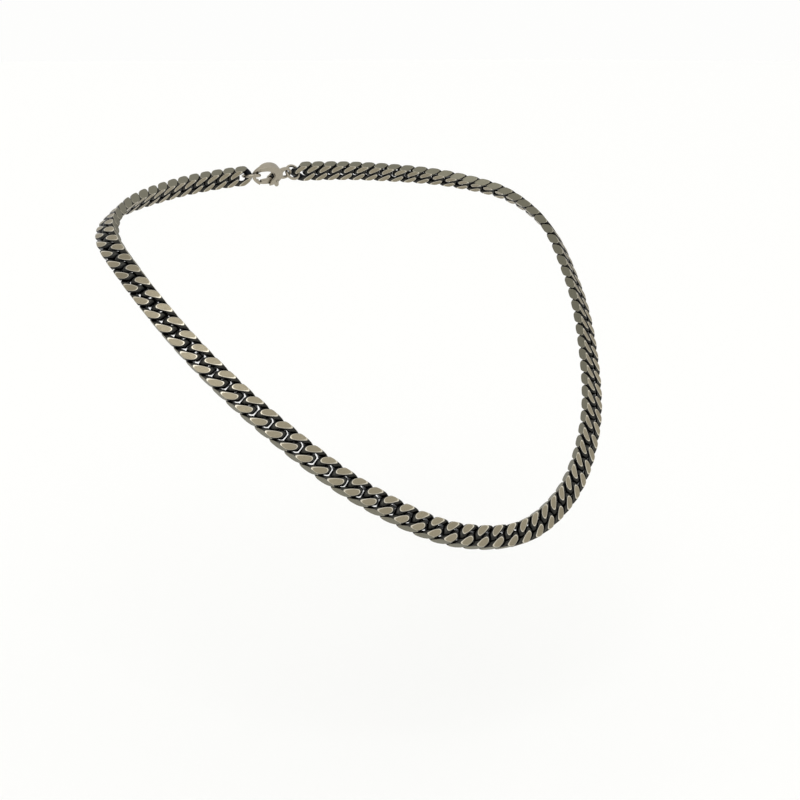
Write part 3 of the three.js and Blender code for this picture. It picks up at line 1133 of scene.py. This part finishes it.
class FinishShop:
    """Builds the materials from the finishes and the shared node groups."""

    def __init__(self) -> None:
        """Makes the shared groups once."""
        self.grain = brushed_grain_group()
        self.flats = ground_flats_group()

    def _start(self, name: str) -> tuple[NodeTree, Node, Material]:
        """A new material with only its Principled shader and output."""
        material = bpy.data.materials.new(name)
        material.use_nodes = True
        tree = material.node_tree
        return tree, tree.nodes["Principled BSDF"], material

    def _place(self, tree: NodeTree, group: NodeTree) -> Node:
        """Adds one of the shared groups to a material."""
        node = tree.nodes.new("ShaderNodeGroup")
        node.node_tree = group
        return node

    def _grained(self, tree: NodeTree, stretch: Triple, scale: float) -> Node:
        """Adds the brushed grain, in each piece's own coordinates."""
        grain = self._place(tree, self.grain)
        link(tree, add_attribute(tree, "grain_at").outputs["Vector"], grain.inputs["Vector"])
        grain.inputs["Stretch"].default_value = stretch
        grain.inputs["Scale"].default_value = scale
        return grain

    def _mottled(self, tree: NodeTree, grain: Node, amount: float) -> NodeSocket:
        """The mottle as a change either way from nothing, that much in all."""
        return add_math(tree, "MULTIPLY", add_math(tree, "SUBTRACT", grain.outputs["Mottle"], 0.5), amount)

    def _add_bump(self, tree: NodeTree, shader: Node, grain: Node, strength: float) -> None:
        """Raises the grain a little on the surface."""
        bump = tree.nodes.new("ShaderNodeBump")
        bump.inputs["Strength"].default_value = strength
        bump.inputs["Distance"].default_value = BUMP_HEIGHT
        link(tree, grain.outputs["Height"], bump.inputs["Height"])
        link(tree, bump.outputs["Normal"], shader.inputs["Normal"])

    def chain(self, finish: BlackenedMetal, shape: LinkShape) -> Material:
        """The chain's metal.

        Args:
            finish: its colours and roughness.
            shape: the link, whose flats it follows.

        Returns:
            The material.
        """
        tree, shader, material = self._start(finish.name)
        grain = self._grained(tree, (1.0, 5.0, 5.0), 3.2)
        parts = tree.nodes.new("ShaderNodeSeparateXYZ")
        link(tree, add_attribute(tree, "drawn").outputs["Vector"], parts.inputs[0])
        past_face = add_math(
            tree, "SUBTRACT", add_math(tree, "ABSOLUTE", parts.outputs["Z"]), shape.thickness / 2,
        )
        past_edge = add_math(
            tree, "SUBTRACT", add_math(tree, "ABSOLUTE", parts.outputs["Y"]), shape.width / 2,
        )
        flats = self._place(tree, self.flats)
        link(tree, past_face, flats.inputs["Past Face"])
        link(tree, past_edge, flats.inputs["Past Edge"])
        link(tree, grain.outputs["Mottle"], flats.inputs["Ragged"])
        openness = add_attribute(tree, "open").outputs["Fac"]
        brushed_off = add_range(tree, openness, 0.30, 0.95, 0.0, 0.30)
        uneven = add_math(tree, "MULTIPLY", brushed_off, add_range(tree, grain.outputs["Lines"], 0.35, 0.65))
        black = add_mix(tree, uneven, finish.black, finish.edge)
        # Painted shade: the edge flats take the darker edge colour, though they are the same bare metal as
        # the face flats.
        with_shaded_edge = add_mix(tree, flats.outputs["Edge"], black, finish.edge)
        worn = add_range(tree, add_attribute(tree, "wear").outputs["Fac"], 0.0, 1.0, 0.45, 1.0)
        lined = add_math(tree, "MULTIPLY", add_range(tree, grain.outputs["Lines"], 0.3, 0.7), worn)
        dull = tuple(0.66 * part for part in finish.bare)
        bare = add_mix(tree, lined, dull, finish.bare)
        with_face = add_mix(tree, flats.outputs["Face"], with_shaded_edge, bare)
        # Painted highlight: the rims of the flats are painted the bright rim colour, in place of the light
        # that they catch.
        with_painted_highlight = add_mix(tree, flats.outputs["Rim"], with_face, finish.rim)
        link(tree, with_painted_highlight, shader.inputs["Base Color"])
        shader.inputs["Metallic"].default_value = 1.0
        ground = add_math(tree, "MAXIMUM", flats.outputs["Face"], flats.outputs["Edge"])
        rough = add_range(tree, ground, 0.0, 1.0, finish.black_roughness, finish.bare_roughness)
        smoother = add_math(tree, "MULTIPLY", flats.outputs["Rim"], 0.14)
        varied = self._mottled(tree, grain, 0.2)
        link(
            tree,
            add_math(tree, "ADD", add_math(tree, "SUBTRACT", rough, smoother), varied),
            shader.inputs["Roughness"],
        )
        self._add_bump(tree, shader, grain, 0.35)
        return material

    def cast(self, finish: CastMetal) -> Material:
        """The metal of the clasp and its rings."""
        tree, shader, material = self._start(finish.name)
        grain = self._grained(tree, (1.5, 4.0, 4.0), 3.0)
        openness = add_attribute(tree, "open").outputs["Fac"]
        ragged = self._mottled(tree, grain, 0.5)
        worn = add_range(tree, add_math(tree, "ADD", openness, ragged), 0.25, 0.80)
        lined = add_range(tree, grain.outputs["Lines"], 0.3, 0.7)
        dull = tuple(0.82 * part for part in finish.bare)
        bare = add_mix(tree, lined, dull, finish.bare)
        link(tree, add_mix(tree, worn, finish.black, bare), shader.inputs["Base Color"])
        shader.inputs["Metallic"].default_value = 1.0
        varied = self._mottled(tree, grain, 0.2)
        link(tree, add_math(tree, "ADD", varied, finish.roughness), shader.inputs["Roughness"])
        self._add_bump(tree, shader, grain, 0.25)
        return material

    def wire(self, finish: DrawnWire) -> Material:
        """The spring's wire."""
        tree, shader, material = self._start(finish.name)
        shader.inputs["Base Color"].default_value = (*finish.colour, 1.0)
        shader.inputs["Metallic"].default_value = 1.0
        shader.inputs["Roughness"].default_value = finish.roughness
        return material


# ---- the set ----


@dataclass(frozen=True)
class Studio:
    """A plain pale floor, soft lights and the camera, in metres."""

    floor_drop: float = 0.072
    floor_size: float = 60.0
    floor_colour: Triple = (0.90, 0.90, 0.89)
    world_strength: float = 0.76
    backdrop_strength: float = 0.985
    lens: float = 44.95
    distance: float = 0.31503
    azimuth: float = math.radians(-38.18)
    elevation: float = math.radians(19.14)
    look_at: Triple = (-0.00148, -0.02395, -0.04848)

    def build(self) -> None:
        """Makes the floor, the lights, the world and the camera."""
        bpy.context.scene.view_settings.view_transform = "Standard"
        self._floor()
        self._world()
        self._camera()
        self._light("key", (-0.35, -0.45, 0.75), 0.80, math.radians(50))
        self._light("fill", (0.60, -0.30, 0.55), 0.35, math.radians(70))
        self._light("back", (0.10, 0.60, 0.60), 0.35, math.radians(60))

    def _floor(self) -> None:
        """The floor, well below the chain, which hangs from a neck."""
        half = self.floor_size / 2
        level = CAD_BOX[0][2] - self.floor_drop
        corners = [(x * half, y * half, level) for x, y in ((-1, -1), (1, -1), (1, 1), (-1, 1))]
        floor = new_object("floor", np.array(corners), [(0, 1, 2, 3)], smooth=False)
        material = bpy.data.materials.new("pale_floor")
        material.use_nodes = True
        shader = material.node_tree.nodes["Principled BSDF"]
        shader.inputs["Base Color"].default_value = (*self.floor_colour, 1.0)
        shader.inputs["Roughness"].default_value = 0.9
        floor.data.materials.append(material)

    def _world(self) -> None:
        """An even pale surround, seen as bright as the lit floor so that no horizon shows."""
        world = bpy.data.worlds.new("surround")
        world.use_nodes = True
        tree = world.node_tree
        background = tree.nodes["Background"]
        background.inputs["Color"].default_value = (1.0, 1.0, 0.99, 1.0)
        seen = tree.nodes.new("ShaderNodeLightPath").outputs["Is Camera Ray"]
        extra = add_math(tree, "MULTIPLY", seen, self.backdrop_strength - self.world_strength)
        link(tree, add_math(tree, "ADD", extra, self.world_strength), background.inputs["Strength"])
        bpy.context.scene.world = world

    def _light(self, name: str, source: Triple, strength: float, spread: float) -> None:
        """A large soft light, far enough away to light the floor evenly.

        Args:
            name: of the light.
            source: the direction that it shines from.
            strength: what it gives a surface that faces it.
            spread: the angle that it fills.
        """
        data = bpy.data.lights.new(name, "SUN")
        data.energy = strength
        data.angle = spread
        lamp = bpy.data.objects.new(name, data)
        bpy.context.scene.collection.objects.link(lamp)
        lamp.rotation_euler = (-Vector(source)).to_track_quat("-Z", "Y").to_euler()

    def _camera(self) -> None:
        """The camera, in front of the wearer's right shoulder and a little above the chain."""
        data = bpy.data.cameras.new("camera")
        data.lens = self.lens
        data.sensor_width = 36.0
        data.clip_start = 0.01
        camera = bpy.data.objects.new("camera", data)
        bpy.context.scene.collection.objects.link(camera)
        flat = math.cos(self.elevation)
        towards = Vector((
            math.sin(self.azimuth) * flat, -math.cos(self.azimuth) * flat, math.sin(self.elevation),
        ))
        camera.location = Vector(self.look_at) + towards * self.distance
        camera.rotation_euler = (-towards).to_track_quat("-Z", "Y").to_euler()
        bpy.context.scene.camera = camera


def main() -> None:
    """Builds the necklace and the set round it."""
    logging.basicConfig(level=logging.INFO)
    shop = FinishShop()
    chain = Chain()
    chain.build()
    chain.dress(shop.chain(BlackenedMetal(), chain.shape))
    clasp = Clasp(chain.drape)
    clasp.build()
    clasp.dress(shop.cast(CastMetal()), shop.wire(DrawnWire()))
    Studio().build()


if __name__ == "__main__":
    main()
